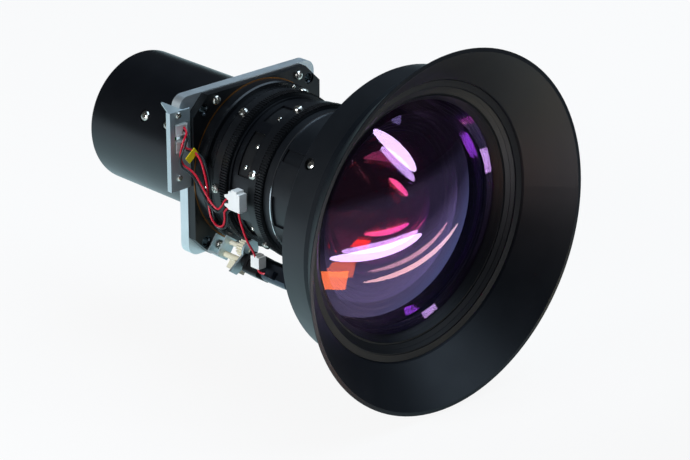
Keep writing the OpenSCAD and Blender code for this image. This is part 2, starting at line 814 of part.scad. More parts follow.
module hood() {
    root_rise = 0.4;
    root_r = drum_front_r + root_rise;
    root_step = 1;
    root_in_r = baffle_seat_r - root_step;
    band_end_x = drum_end_x + hood_band;
    spigot = 1;
    lip = 0.6;
    color("#3a3d45") turned([[root_in_r, drum_end_x], [root_r, drum_end_x],
        [root_r, band_end_x], [root_r + spigot, band_end_x + spigot],
        [hood_r - lip, rim_x - 2 * lip], [hood_r, rim_x - lip], [hood_r, rim_x],
        [hood_r - hood_wall, rim_x], [root_in_r + lip, drum_end_x + 2 * lip]]);
}

// Bent zinc bracket beside the base plate, with its board and sockets

plate_side_y = -plate_w / 2;
bracket_y = plate_side_y - ear_w;
bracket_space = 2.5;
bracket_x = front_x + bracket_space;
bracket_top = 44;
bracket_back = 17.5;
bracket_lip = 2.5;
web_top = 15.5;
web_len = 11;
window_top = 36.6;
window_h = 18.3;
window_w = 10;
window_side = 1.7;
board_gap = 2.4;
board_w = 6.2;
board_h = 41.5;
board_top = 42.6;
board_x = bracket_x - board_gap - board_t;
board_screw_out = 8.9;
board_screw_y = plate_side_y - board_screw_out;
board_screw_tops = [2.4, 40.8];
board_side_gap = small_screw_h + moving_gap;
side_screw_drops = [34, 42];
side_screw_x = 3.2;
socket_tops = [35.6, 25.4];
socket_h = 6.9;
socket_w = 8.6;
socket_side = 2.3;
socket_y = plate_side_y - socket_side;
socket_out = 1.2;

module board_bracket() {
    outer_y = bracket_y - bracket_reach;
    low = bracket_top - bracket_h;
    color("#7d969b") difference() {
        union() {
            translate([bracket_x - web_len, bracket_y - sheet_t, low])
                cube([web_len, sheet_t, web_top - low]);
            translate([bracket_x, outer_y, low]) cube([sheet_t, plate_side_y - outer_y, bracket_h]);
            translate([bracket_x - bracket_lip, outer_y, low]) cube([bracket_lip, sheet_t, bracket_h]);
            translate([0, 0, bracket_top - sheet_t]) linear_extrude(sheet_t) polygon([
                [bracket_x - bracket_back, bracket_y], [bracket_x - bracket_back, bracket_y - sheet_t],
                [bracket_x, outer_y], [bracket_x + sheet_t, outer_y],
                [bracket_x + sheet_t, plate_side_y], [bracket_x, plate_side_y], [bracket_x, bracket_y]]);
            for (drop = board_screw_tops)
                translate([0, board_screw_y, bracket_top - drop])
                    disc(board_x + board_t, bracket_x, small_screw_r);
        }
        translate([bracket_x - overrun, plate_side_y - window_side - window_w, window_top - window_h])
            cube([sheet_t + 2 * overrun, window_w, window_h]);
        for (drop = board_screw_tops)
            translate([0, board_screw_y, bracket_top - drop])
                disc(board_x, bracket_x + 2 * overrun, small_screw_r * shank_share);
        for (drop = side_screw_drops)
            translate([side_screw_x, bracket_y + overrun, bracket_top - drop]) rotate([90, 0, 0])
                cylinder(h = 2 * overrun + sheet_t, r = small_screw_r * shank_share);
    }
}

module bracket_screws() {
    color("gainsboro") {
        for (drop = board_screw_tops)
            translate([bracket_x + sheet_t, board_screw_y, bracket_top - drop]) rotate([0, 90, 0])
                pan_screw(small_screw_r, small_screw_h, sheet_t + board_gap + board_t);
        for (drop = side_screw_drops)
            translate([side_screw_x, bracket_y - sheet_t, bracket_top - drop]) rotate([90, 0, 0])
                pan_screw(small_screw_r, small_screw_h, sheet_t);
    }
}

module circuit_board() {
    color("seagreen") difference() {
        translate([board_x, bracket_y - sheet_t - board_side_gap - board_w, board_top - board_h])
            cube([board_t, board_w, board_h]);
        for (drop = board_screw_tops)
            translate([0, board_screw_y, bracket_top - drop])
                disc(board_x - overrun, bracket_x, small_screw_r * shank_share);
    }
}

// Two white two-pin sockets with open fronts
module board_sockets() {
    wall = 0.8;
    color("ivory") for (top = socket_tops) difference() {
        translate([board_x + board_t, socket_y - socket_w, top - socket_h])
            cube([bracket_x - board_x - board_t + socket_out, socket_w, socket_h]);
        translate([bracket_x + socket_out / 2, socket_y - socket_w + wall, top - socket_h + wall])
            cube([socket_out, socket_w - 2 * wall, socket_h - 2 * wall]);
    }
}

// Motor drives. In a drive's own frame +Y points outwards and +Z along the ring

zoom_drive_angle = 234;
focus_drive_angle = 306;
pinion_end_gap = 0.3;
drive_plate_gap = 1.3;
zoom_plate_x = zoom_end_x + drive_plate_gap;
focus_plate_x = focus_end_x + drive_plate_gap;
motor_offset = 6.5;
motor_orbit = centre_r + motor_offset;
gearbox_w = 13.4;
gearbox_edge = 3.5;
gearbox_out_r = motor_orbit + motor_r + gearbox_edge;
gearbox_corner = 2;
shaft_r = 1.5;
shaft_end = 0.6;
gearbox_neck = 6;
gearbox_step = 2.25;
neck_r = 4.2;
rod_orbit = centre_r + pinion_pitch_r + tooth_tip + 2 * moving_gap + rod_r;
foot_t = 9.3;
foot_space = 0.8;
foot_in_r = flange_r + foot_space;
foot_edge = 3;
foot_out_r = rod_orbit + foot_edge;
foot_lip = 2.6;
foot_lip_r = centre_r - foot_lip;
foot_from = -5.5;
foot_w = 9;

module in_drive(angle) {
    rotate([angle, 0, 0]) children();
}

module rounded_bar(x0, x1, r_in, r_out, half_w, corner) {
    along_axis(x0) linear_extrude(x1 - x0) union() {
        translate([r_in + corner, -half_w]) square([r_out - r_in - 2 * corner, 2 * half_w]);
        translate([r_in, corner - half_w]) square([r_out - r_in, 2 * (half_w - corner)]);
        for (y = [r_in + corner, r_out - corner], z = [corner - half_w, half_w - corner])
            translate([y, z]) circle(r = corner);
    }
}

module drive_plate(x) {
    eye_r = 6;
    tail_w = 4;
    top_r = shoulder_r + 2 * moving_gap;
    difference() {
        union() {
            along_axis(x) linear_extrude(drive_plate_t) polygon([
                [top_r, -tail_w / 2], [top_r, tail_w / 2], [centre_r - tail_w, tail_w],
                [centre_r + tail_w, tail_w], [gearbox_out_r - tail_w, 0],
                [gearbox_out_r, -tail_w / 2], [gearbox_out_r, -2 * tail_w], [centre_r + tail_w, -tail_w]]);
            translate([0, centre_r, 0]) disc(x, x + drive_plate_t, eye_r);
            translate([0, rod_orbit, 0]) disc(x, x + drive_plate_t, tail_w);
        }
        translate([0, centre_r, 0]) disc(x - overrun, x + drive_plate_t + overrun, shaft_r + shaft_gap);
    }
}

module gearbox(x) {
    half_w = gearbox_w / 2;
    end_x = x + gearbox_len;
    difference() {
        union() {
            translate([0, motor_orbit, 0]) disc(x, x + gearbox_neck, neck_r);
            rounded_bar(x + gearbox_neck, end_x, motor_orbit - half_w, motor_orbit + half_w,
                half_w, gearbox_corner);
            translate([0, motor_orbit, 0]) disc(end_x, end_x + gearbox_step, motor_r - shaft_end);
        }
        for (side = [-1, 1])
            translate([x + gearbox_neck + gearbox_corner, motor_orbit - motor_r / 2,
                side * half_w - shaft_end])
                cube([gearbox_corner, motor_r, 2 * shaft_end]);
    }
}

// Motor can with two flats, a stepped tail and a terminal block on one side
module motor(x) {
    flat = motor_r * 0.8;
    tail_len = 1.5;
    block_w = 3.5;
    block_len = 6;
    translate([0, motor_orbit, 0]) {
        intersection() {
            disc(x, x + motor_len, motor_r);
            translate([x, -motor_r, -flat]) cube([motor_len, 2 * motor_r, 2 * flat]);
        }
        disc(x + motor_len, x + motor_len + tail_len, motor_r / 2);
        translate([x + block_len, 0, -flat - block_w]) cube([block_len, motor_r * 0.7, block_w]);
    }
}

module pinion(teeth_x, plate_x) {
    translate([0, centre_r, 0]) {
        along_axis(teeth_x + pinion_end_gap) linear_extrude(tooth_len)
            gear_outline(pinion_teeth, 180, pinion_profile_shares);
        disc(flange_x + foot_t - sheet_t - shaft_end, plate_x + drive_plate_t + shaft_end, shaft_r);
    }
}

// Folded zinc feet on the front plate. Each carries a spacer rod and the rear end of a pinion
module drive_feet() {
    color("#7d8b8e") difference() {
        for (angle = [zoom_drive_angle, focus_drive_angle]) in_drive(angle) difference() {
            union() {
                translate([flange_x, foot_in_r, foot_from])
                    cube([sheet_t, foot_out_r - foot_in_r, foot_w]);
                translate([flange_x, foot_out_r - sheet_t, foot_from]) cube([foot_t, sheet_t, foot_w]);
                translate([flange_x + foot_t - sheet_t, foot_lip_r, foot_from])
                    cube([sheet_t, foot_out_r - foot_lip_r, foot_w]);
            }
            translate([0, centre_r, 0])
                disc(flange_x + foot_t - sheet_t - overrun, flange_x + foot_t + overrun, shaft_r + shaft_gap);
        }
        at_corners(plate_screw_y, plate_screw_z)
            disc(flange_x - overrun, flange_x + sheet_t + overrun, screw_r * shank_share);
    }
}

module spacer_rods() {
    color("#d9d3c0") {
        in_drive(zoom_drive_angle) translate([0, rod_orbit, 0])
            disc(flange_x + foot_t, zoom_plate_x, rod_r);
        in_drive(focus_drive_angle) translate([0, rod_orbit, 0])
            disc(flange_x + foot_t, focus_plate_x, rod_r);
    }
}

module zoom_drive_plate() {
    color("#7d8b8e") in_drive(zoom_drive_angle) drive_plate(zoom_plate_x);
}

module zoom_gearbox() {
    color("#1b1c1f") in_drive(zoom_drive_angle) gearbox(zoom_plate_x + drive_plate_t);
}

module zoom_motor() {
    color("#59606c") in_drive(zoom_drive_angle)
        motor(zoom_plate_x + drive_plate_t + gearbox_len + gearbox_step);
}

module zoom_pinion() {
    color("#e3ddc8") in_drive(zoom_drive_angle) pinion(zoom_teeth_x, zoom_plate_x);
}

// Limit switch on the back of the zoom drive plate
module limit_switch() {
    body_in_r = rod_orbit + rod_r + moving_gap;
    body_len = 6;
    body_w = 5;
    lever_w = 1.2;
    color("#d6cfb8") in_drive(zoom_drive_angle) difference() {
        translate([zoom_plate_x - body_len, body_in_r, -body_w]) cube([body_len, body_w, 2 * body_w]);
        translate([zoom_plate_x - body_len - overrun, body_in_r + lever_w, -body_w + lever_w])
            cube([body_len / 2 + overrun, body_w - 2 * lever_w, body_w]);
    }
}

module focus_drive_plate() {
    color("#7d8b8e") in_drive(focus_drive_angle) drive_plate(focus_plate_x);
}

module focus_gearbox() {
    color("#1b1c1f") in_drive(focus_drive_angle) gearbox(focus_plate_x + drive_plate_t);
}

module focus_motor() {
    color("#59606c") in_drive(focus_drive_angle)
        motor(focus_plate_x + drive_plate_t + gearbox_len + gearbox_step);
}

module focus_pinion() {
    color("#e3ddc8") in_drive(focus_drive_angle) pinion(focus_teeth_x, focus_plate_x);
}

// Leads and the connectors on them. Routes are [x, y, z] points along each lead

connector_len = 9.5;
connector_w = 5.5;
connector_h = 11;
connector_x = 48.5;
connector_y = -49.2;
connector_top = 4.6;
latch_t = 1.5;
plug_len = 7;
plug_w = 5.5;
plug_h = 7;
plug_x = 57.4;
plug_y = -46.2;
plug_z = -41.6;
lead_space = 0.45;

board_route = [[9.6, -54.3, 33.2], [12, -54.9, 32.6], [14, -56, 30.5], [14.5, -58.5, 27], [14.5, -60.5, 22],
    [14.5, -61, 17], [16, -60, 13], [18.5, -57.8, 10.5], [21.5, -56, 7.2], [25.5, -55, 1.7],
    [29.5, -54.3, -3.9], [33.5, -53.8, -8.1], [37, -53, -10], [40, -52.6, -7.6],
    [42.7, -52.4, -3.5], [45.8, -52, -0.9], [49.5, -52, 0.6]];
return_route = [[9.6, -56.6, 23.3], [12, -56.8, 23], [14.5, -56, 21.8], [18, -53.5, 20], [21.5, -52, 15.1],
    [25, -52, 7.5], [27.1, -51.9, -1], [30.1, -53.7, -10], [33.5, -54.6, -16.6],
    [36.5, -53, -20.6], [39.5, -51.5, -20], [41, -51.2, -16], [41.4, -51.6, -11],
    [43.4, -51.2, -8.4], [45.5, -51.4, -6.4], [49.5, -51.6, -5.2]];
board_side = [0.8, -0.4, -1.6];
return_side = [1, 1, -1.4];
motor_route = [[54, -52, -5.4], [55, -52, -11], [57.5, -51.5, -18], [60, -50.5, -24.5],
    [60.6, -47.6, -30], [61, -45.4, -35.2]];
tail_route = [[61, -43.6, -41], [61.4, -43.8, -43.6], [63.4, -42.9, -45], [67, -41.2, -44.6]];

function unit(v) = v / norm(v);
function heading(route, i) =
    unit(route[min(i + 1, len(route) - 1)] - route[max(i - 1, 0)]);
function square_to(v, t) = unit(v - (v * t) * t);

// One side direction for each point, carried along the route without twisting
function sides(route) = [for (i = 0, side = square_to([0.3, 0.2, 1], heading(route, 0));
    i < len(route);
    i = i + 1, side = square_to(side, heading(route, i))) side];

module lead(route) {
    faces_round = 8;
    side = sides(route);
    rings = len(route);
    points = [for (i = [0:rings - 1], k = [0:faces_round - 1])
        let (t = heading(route, i), a = k * 360 / faces_round)
        route[i] + lead_d / 2 * (cos(a) * side[i] + sin(a) * cross(t, side[i]))];
    walls = [for (i = [0:rings - 2], k = [0:faces_round - 1])
        let (a = i * faces_round + k, b = i * faces_round + (k + 1) % faces_round)
        each [[a, b, b + faces_round], [a, b + faces_round, a + faces_round]]];
    caps = [[for (k = [faces_round - 1:-1:0]) k],
        [for (k = [0:faces_round - 1]) (rings - 1) * faces_round + k]];
    polyhedron(points = points, faces = [for (f = concat(walls, caps)) [for (k = [len(f) - 1:-1:0]) f[k]]]);
}

// A second lead that runs beside a route, on the side that a direction points to
function beside(route, towards) = [for (i = [0:len(route) - 1])
    route[i] + (lead_d + lead_space) * square_to(towards, heading(route, i))];

// White in-line connector with its latch arm
module inline_connector() {
    color("ivory") {
        translate([connector_x, connector_y - connector_w, connector_top - connector_h])
            cube([connector_len, connector_w, connector_h]);
        translate([connector_x + connector_len / 4, connector_y - connector_w, connector_top])
            cube([connector_len / 2, connector_w, latch_t]);
    }
}

module motor_plug() {
    color("ivory") translate([plug_x, plug_y, plug_z]) {
        cube([plug_len, plug_w, plug_h]);
        translate([plug_len / 4, 0, plug_h]) cube([plug_len / 2, plug_w, latch_t / 2]);
    }
}

module board_lead_red() {
    color("crimson") lead(board_route);
}

module board_lead_black() {
    color("#202020") lead(beside(board_route, board_side));
}

module return_lead_red() {
    color("crimson") lead(return_route);
}

module return_lead_black() {
    color("#202020") lead(beside(return_route, return_side));
}

module motor_leads() {
    color("crimson") {
        lead(motor_route);
        lead(tail_route);
    }
}

// Bare yellow tag that hangs from the leads
module lead_tag() {
    tag_x = 18.2;
    tag_y = -52.6;
    tag_z = 21;
    tag_t = 0.5;
    tag_w = 4.5;
    tag_len = 8.4;
    tag_lean = 38;
    color("gold") translate([tag_x, tag_y, tag_z]) rotate([tag_lean, 0, 0])
        translate([0, -tag_len, -tag_w / 2]) cube([tag_t, tag_len, tag_w]);
}

// Copper shim round the foot of the flange ring
module shim_ring() {
    shim_t = 0.4;
    shim_w = 0.5;
    color("#9a6a3c") tube(flange_x, flange_x + shim_t, flange_r + shim_w, flange_r);
}

base_plate();
front_plate();
corner_inserts();
plate_screws();
flange_ring();
rear_barrel();
rear_barrel_screws();
rear_retaining_ring();
rear_element();
relay_cell();
relay_lens();
guide_barrel();
window_covers();
cover_screws();
zoom_ring();
zoom_ring_screws();
zoom_cam_sleeve();
zoom_cell();
zoom_lens();
zoom_followers();
focus_ring();
focus_ring_screws();
focus_cam_sleeve();
focus_cell();
focus_lens();
focus_followers();
trim_ring();
front_barrel();
inner_cone_ring();
second_element();
front_housing();
housing_screws();
front_element();
front_retaining_ring();
baffle_ring();
hood();
board_bracket();
bracket_screws();
circuit_board();
board_sockets();
drive_feet();
spacer_rods();
zoom_drive_plate();
zoom_gearbox();
zoom_motor();
zoom_pinion();
limit_switch();
focus_drive_plate();
focus_gearbox();
focus_motor();
focus_pinion();
inline_connector();
motor_plug();
board_lead_red();
board_lead_black();
return_lead_red();
return_lead_black();
motor_leads();
lead_tag();
shim_ring();
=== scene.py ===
# Looks of the motorised projection lens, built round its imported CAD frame.
# Metres, in the part's own frame: +X along the optical axis, +Z up.
import math

import bmesh
import bpy
from mathutils import Matrix, Vector


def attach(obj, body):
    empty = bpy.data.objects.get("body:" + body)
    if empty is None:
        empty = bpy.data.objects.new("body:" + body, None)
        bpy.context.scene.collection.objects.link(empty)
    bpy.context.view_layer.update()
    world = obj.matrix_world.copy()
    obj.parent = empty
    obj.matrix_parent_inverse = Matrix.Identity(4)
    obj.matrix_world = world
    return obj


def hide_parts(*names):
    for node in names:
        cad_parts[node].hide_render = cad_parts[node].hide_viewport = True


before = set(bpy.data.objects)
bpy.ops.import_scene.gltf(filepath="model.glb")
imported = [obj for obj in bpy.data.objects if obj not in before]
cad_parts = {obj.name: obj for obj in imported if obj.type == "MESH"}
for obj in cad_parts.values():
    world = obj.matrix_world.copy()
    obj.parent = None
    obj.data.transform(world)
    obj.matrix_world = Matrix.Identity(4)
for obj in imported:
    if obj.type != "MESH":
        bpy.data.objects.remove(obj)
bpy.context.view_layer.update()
scene = bpy.context.scene

# Camera: fitted to the photograph from the plate, the rings and the hood's rim
azimuth, elevation = math.radians(46.75), math.radians(22.24)
right = Vector((math.cos(azimuth), math.sin(azimuth), 0))
back = Vector((math.sin(azimuth) * math.cos(elevation), -math.cos(azimuth) * math.cos(elevation),
               math.sin(elevation)))
camera_data = bpy.data.cameras.new("photo camera")
camera_data.lens = 150.1
camera_data.sensor_width = 36
camera = bpy.data.objects.new("photo camera", camera_data)
camera.matrix_world = Matrix.Translation((1.2049, -1.0512, 0.6045)) @ Matrix(
    (right, back.cross(right), back)).transposed().to_4x4()
scene.collection.objects.link(camera)
scene.camera = camera

# Leads: thin insulated wires on the routes traced from the photograph. The second lead of each
# pair runs beside the first, as it does in the CAD
lead_diameter = 0.0013
beside_gap = 0.00045
point_radius = 0.0005
board_route = [(.0096, -.0543, .0332), (.012, -.0549, .0326), (.014, -.056, .0305),
               (.0145, -.0585, .027), (.0145, -.0605, .022), (.0145, -.061, .017),
               (.016, -.06, .013), (.0185, -.0578, .0105), (.0215, -.056, .0072),
               (.0255, -.055, .0017), (.0295, -.0543, -.0039), (.0335, -.0538, -.0081),
               (.037, -.053, -.01), (.04, -.0526, -.0076), (.0427, -.0524, -.0035),
               (.0458, -.052, -.0009), (.0495, -.052, .0006)]
return_route = [(.0096, -.0566, .0233), (.012, -.0568, .023), (.0145, -.056, .0218),
                (.018, -.0535, .02), (.0215, -.052, .0151), (.025, -.052, .0075),
                (.0271, -.0519, -.001), (.0301, -.0537, -.01), (.0335, -.0546, -.0166),
                (.0365, -.053, -.0206), (.0395, -.0515, -.02), (.041, -.0512, -.016),
                (.0414, -.0516, -.011), (.0434, -.0512, -.0084), (.0455, -.0514, -.0064),
                (.0495, -.0516, -.0052)]
motor_route = [(.054, -.052, -.0054), (.055, -.052, -.011), (.0575, -.0515, -.018),
               (.06, -.0505, -.0245), (.0606, -.0476, -.03), (.061, -.0454, -.0352)]
tail_route = [(.061, -.0436, -.041), (.0614, -.0438, -.0436), (.0634, -.0429, -.045),
              (.067, -.0412, -.0446)]


def smooth(route, parts=5):
    """Points along a soft curve through the route's points, in parts steps from each to the next"""
    p = [Vector(q) for q in route]
    p = [2 * p[0] - p[1]] + p + [2 * p[-1] - p[-2]]
    line = []
    for a, b, c, d in zip(p, p[1:], p[2:], p[3:]):
        for k in range(parts):
            t = k / parts
            line.append(b + (c - a) * t / 2 + (2 * a - 5 * b + 4 * c - d) * t * t / 2
                        + (3 * b - a - 3 * c + d) * t ** 3 / 2)
    return line + [p[-2]]


def beside(route, towards):
    """The route of a second lead, one lead's width away on the side that towards points to"""
    points, out = [Vector(q) for q in route], []
    for i, point in enumerate(points):
        along = (points[min(i + 1, len(points) - 1)] - points[max(i - 1, 0)]).normalized()
        side = Vector(towards) - along * along.dot(Vector(towards))
        out.append(point + side.normalized() * (lead_diameter + beside_gap))
    return out


def wire(name, route):
    """A round lead along the route, where it starts and its length. Blender adds a point's radius
    in metres to the curve's bounds, so the points are small and the bevel they scale is large"""
    line = smooth(route)
    curve = bpy.data.curves.new(name, "CURVE")
    curve.dimensions = "3D"
    curve.bevel_depth = lead_diameter / 2 / point_radius
    curve.bevel_resolution = 3
    curve.use_fill_caps = True
    spline = curve.splines.new("POLY")
    spline.points.add(len(line) - 1)
    for point, place in zip(spline.points, line):
        point.co = (*place, 1)
        point.radius = point_radius
    spline.use_smooth = True
    piece = bpy.data.objects.new(name, curve)
    scene.collection.objects.link(piece)
    length = sum((b - a).length for a, b in zip(line, line[1:]))
    return piece, line[0], length


leads = {}
for node, route in [("board_lead_red", board_route),
                    ("board_lead_black", beside(board_route, (.8, -.4, -1.6))),
                    ("return_lead_red", return_route),
                    ("return_lead_black", beside(return_route, (1, 1, -1.4))),
                    ("motor_leads", motor_route)]:
    piece, start, length = wire(node + "_wire", route)
    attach(piece, "lens_body")
    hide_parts(node)
    leads[node] = piece
tail, _, _ = wire("motor_tail_wire", tail_route)
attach(tail, "lens_body")
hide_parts("motor_leads")
leads["motor tail"] = tail


# Materials. Each one varies by a fraction of a millimetre on the object's own coordinates
def add(tree, kind, **values):
    """One node, with its properties or its named inputs set"""
    node = tree.nodes.new(kind)
    for key, value in values.items():
        if key in node.inputs:
            node.inputs[key].default_value = value
        elif hasattr(node, key):
            setattr(node, key, value)
        else:
            node.inputs[key.replace("_", " ")].default_value = value
    return node


def linear(colour):
    """Scene-linear colour of an sRGB hex code"""
    parts = [int(colour[i:i + 2], 16) / 255 for i in (1, 3, 5)]
    return tuple(c / 12.92 if c <= 0.04045 else ((c + 0.055) / 1.055) ** 2.4 for c in parts) + (1,)


mottle_scale, mottle, rough_spread, bump_strength = 70, 0.12, 0.15, 0.35


def surface(name, colour, rough, metal=0.0, grain=0.3, height=0.00002, turned=False, shine=0.5):
    """A Principled surface. grain is the size of its texture in millimetres and height the depth of
    its bump in metres; turned stretches the texture into lathe lines round the X axis, and shine is
    how much light a surface that isn't metal mirrors, 0.5 for a plain one"""
    material = bpy.data.materials.new(name)
    material.use_nodes = True
    tree = material.node_tree
    shader = tree.nodes["Principled BSDF"]
    shader.inputs["Metallic"].default_value = metal
    shader.inputs["Specular IOR Level"].default_value = shine
    place = add(tree, "ShaderNodeTexCoord")
    if turned:
        parts = add(tree, "ShaderNodeSeparateXYZ")
        tree.links.new(place.outputs["Object"], parts.inputs[0])
        fine = add(tree, "ShaderNodeTexNoise", noise_dimensions="1D", Scale=1000 / grain, Detail=2)
        tree.links.new(parts.outputs["X"], fine.inputs["W"])
    else:
        fine = add(tree, "ShaderNodeTexNoise", Scale=1000 / grain, Detail=3)
        tree.links.new(place.outputs["Object"], fine.inputs["Vector"])
    broad = add(tree, "ShaderNodeTexNoise", Scale=mottle_scale, Detail=4)
    tree.links.new(place.outputs["Object"], broad.inputs["Vector"])
    tint = add(tree, "ShaderNodeMix", data_type="RGBA")
    base = linear(colour)
    tint.inputs[6].default_value = [c * (1 - mottle) for c in base[:3]] + [1]
    tint.inputs[7].default_value = [min(1, c * (1 + mottle)) for c in base[:3]] + [1]
    tree.links.new(broad.outputs["Fac"], tint.inputs[0])
    tree.links.new(tint.outputs[2], shader.inputs["Base Color"])
    spread = add(tree, "ShaderNodeMapRange", To_Min=rough * (1 - rough_spread),
                 To_Max=rough * (1 + rough_spread))
    tree.links.new(broad.outputs["Fac"], spread.inputs["Value"])
    tree.links.new(spread.outputs["Result"], shader.inputs["Roughness"])
    bump = add(tree, "ShaderNodeBump", Strength=bump_strength, Distance=height)
    tree.links.new(fine.outputs["Fac"], bump.inputs["Height"])
    tree.links.new(bump.outputs["Normal"], shader.inputs["Normal"])
    return material


glass_ior, coat_ior, coat_rough = 1.5, 1.6, 0.03


def glass(name, clear, coats, share):
    """Polished glass that lets light through, under a coating whose colour changes with the angle:
    coats lists (position from facing to grazing, hex colour), share how much of it shows"""
    material = bpy.data.materials.new(name)
    material.use_nodes = True
    tree = material.node_tree
    tree.nodes.clear()
    out = add(tree, "ShaderNodeOutputMaterial")
    body = add(tree, "ShaderNodeBsdfGlass", Color=linear(clear), Roughness=0.0, IOR=glass_ior)
    coat = add(tree, "ShaderNodeBsdfGlossy", Roughness=coat_rough)
    facing = add(tree, "ShaderNodeLayerWeight", Blend=0.5)
    ramp = add(tree, "ShaderNodeValToRGB")
    while len(ramp.color_ramp.elements) < len(coats):
        ramp.color_ramp.elements.new(0.5)
    for element, (position, colour) in zip(ramp.color_ramp.elements, coats):
        element.position = position
        element.color = linear(colour)
    tree.links.new(facing.outputs["Facing"], ramp.inputs["Fac"])
    tree.links.new(ramp.outputs["Color"], coat.inputs["Color"])
    fresnel = add(tree, "ShaderNodeFresnel", IOR=coat_ior)
    amount = add(tree, "ShaderNodeMath", operation="ADD")
    tree.links.new(fresnel.outputs["Fac"], amount.inputs[0])
    amount.inputs[1].default_value = share
    mix = add(tree, "ShaderNodeMixShader")
    tree.links.new(amount.outputs[0], mix.inputs[0])
    tree.links.new(body.outputs[0], mix.inputs[1])
    tree.links.new(coat.outputs[0], mix.inputs[2])
    tree.links.new(mix.outputs[0], out.inputs["Surface"])
    return material


finishes = {
    # milled aluminium of the square plate, left bright
    "alloy_plate": surface("milled aluminium plate", "#e2e9ea", 0.42, metal=0.9, grain=0.5),
    # black anodised aluminium of the front plate
    "black_plate": surface("black anodised plate", "#090b0d", 0.36, grain=0.25),
    # turned steel sleeves in the corner holes, their steel painted darker than bare steel as
    # painted shade for the shadowed holes
    "steel_insert": surface("steel insert darkened as painted shade", "#5a5e62", 0.25, metal=1, grain=0.2,
                            turned=True),
    # bright zinc plated steel screws
    "steel_screw": surface("zinc plated screw", "#dedad0", 0.24, metal=1, grain=0.2),
    # black anodised aluminium, turned on a lathe
    "flange_black": surface("turned black flange", "#0a0c0f", 0.28, grain=0.3, turned=True),
    "barrel_black": surface("turned black barrel", "#090b0f", 0.3, grain=0.4, turned=True,
                            height=0.000008),
    "ring_black": surface("black anodised gear ring", "#0c0e11", 0.36, grain=0.25, turned=True),
    "cell_black": surface("matt black lens cell", "#08090b", 0.45, grain=0.3, turned=True),
    "baffle_black": surface("matt black stepped baffle", "#080b0f", 0.45, grain=0.35, turned=True,
                            shine=0.2),
    # dark plastic plates in the windows
    "cover_black": surface("black window plate", "#0a0b0d", 0.4),
    # hard anodised aluminium of the cam sleeves
    "cam_alloy": surface("hard anodised sleeve", "#6d6a58", 0.45, metal=0.6, turned=True),
    "follower_brass": surface("turned brass pin", "#c39a4a", 0.3, metal=1),
    # thin copper shim at the foot of the flange
    "copper_shim": surface("copper shim", "#a06a34", 0.35, metal=0.9),
    # polished aluminium trim ring
    "polished_trim": surface("polished trim ring", "#dfe1e3", 0.12, metal=1, grain=0.2,
                             turned=True),
    # painted aluminium castings of the front barrel and housing
    "front_barrel_grey": surface("painted front barrel", "#0d1014", 0.36, grain=0.3),
    "housing_grey": surface("painted front housing", "#0e1115", 0.38, grain=0.25),
    # moulded satin plastic of the hood
    "hood_black": surface("satin moulded hood", "#0b0f14", 0.42, grain=0.28, height=0.00003,
                          shine=0.22),
    # zinc plated steel sheet of the bracket and the drive plates
    "zinc_sheet": surface("zinc plated sheet", "#c3d1d3", 0.42, metal=0.7, grain=0.5),
    "board_green": surface("green solder resist", "#1f7a38", 0.3),
    # white and cream nylon mouldings
    "white_nylon": surface("white nylon connector", "#f4f3ee", 0.42),
    "cream_nylon": surface("cream nylon rod", "#ebe3c6", 0.45),
    "cream_acetal": surface("cream acetal pinion", "#ece5cd", 0.4),
    "gearbox_black": surface("black gearbox moulding", "#090a0c", 0.38),
    "motor_can": surface("drawn steel motor can", "#4a505a", 0.3, metal=1, grain=0.3),
    # smooth insulation of the leads
    "red_insulation": surface("red lead insulation", "#d01030", 0.35, height=0.000005),
    "dark_insulation": surface("dark lead insulation", "#152022", 0.35, height=0.000005),
    "yellow_tag": surface("yellow film tag", "#efd51c", 0.4),
    # polished and coated optical glass
    "optical_glass": glass("coated inner glass", "#e6ecf2",
                           [(0, "#b05a2a"), (0.5, "#8a3f6a"), (1, "#4a4fb0")], 0.1),
    "coated_glass": glass("coated front glass", "#efe6f2",
                          [(0, "#cda8e8"), (0.35, "#c890dc"), (0.6, "#6a74e8"), (1, "#e0b080")],
                          0.05),
}
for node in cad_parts.values():
    for place in node.material_slots:
        place.material = finishes[place.material.name.split(".")[0]]


# Front glass: turned with fine steps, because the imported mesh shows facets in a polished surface.
# Its rim lies where the fitted camera sees it in the photograph
def dome(pole, curve, edge, steps=40):
    """Profile points (x, radius) of a spherical face, from its pole out to the edge"""
    return [(pole - curve + math.sqrt(curve ** 2 - (edge * k / steps) ** 2), edge * k / steps)
            for k in range(steps + 1)]


def turned_piece(name, profile, material, segments=192):
    """A profile of (x, radius) turned round the X axis, smooth but for edges of over 25 degrees"""
    mesh = bpy.data.meshes.new(name)
    shape = bmesh.new()
    line = [shape.verts.new((x, r, 0)) for x, r in profile]
    edges = [shape.edges.new(pair) for pair in zip(line, line[1:])]
    bmesh.ops.spin(shape, geom=line + edges, axis=(1, 0, 0), cent=(0, 0, 0), steps=segments,
                   angle=2 * math.pi, use_duplicate=False)
    bmesh.ops.remove_doubles(shape, verts=shape.verts, dist=1e-6)
    bmesh.ops.recalc_face_normals(shape, faces=shape.faces)
    for face in shape.faces:
        face.smooth = True
    for edge in shape.edges:
        if len(edge.link_faces) == 2 and edge.calc_face_angle() > math.radians(25):
            edge.smooth = False
    shape.to_mesh(mesh)
    shape.free()
    mesh.materials.append(material)
    piece = bpy.data.objects.new(name, mesh)
    scene.collection.objects.link(piece)
    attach(piece, "lens_body")
    return piece


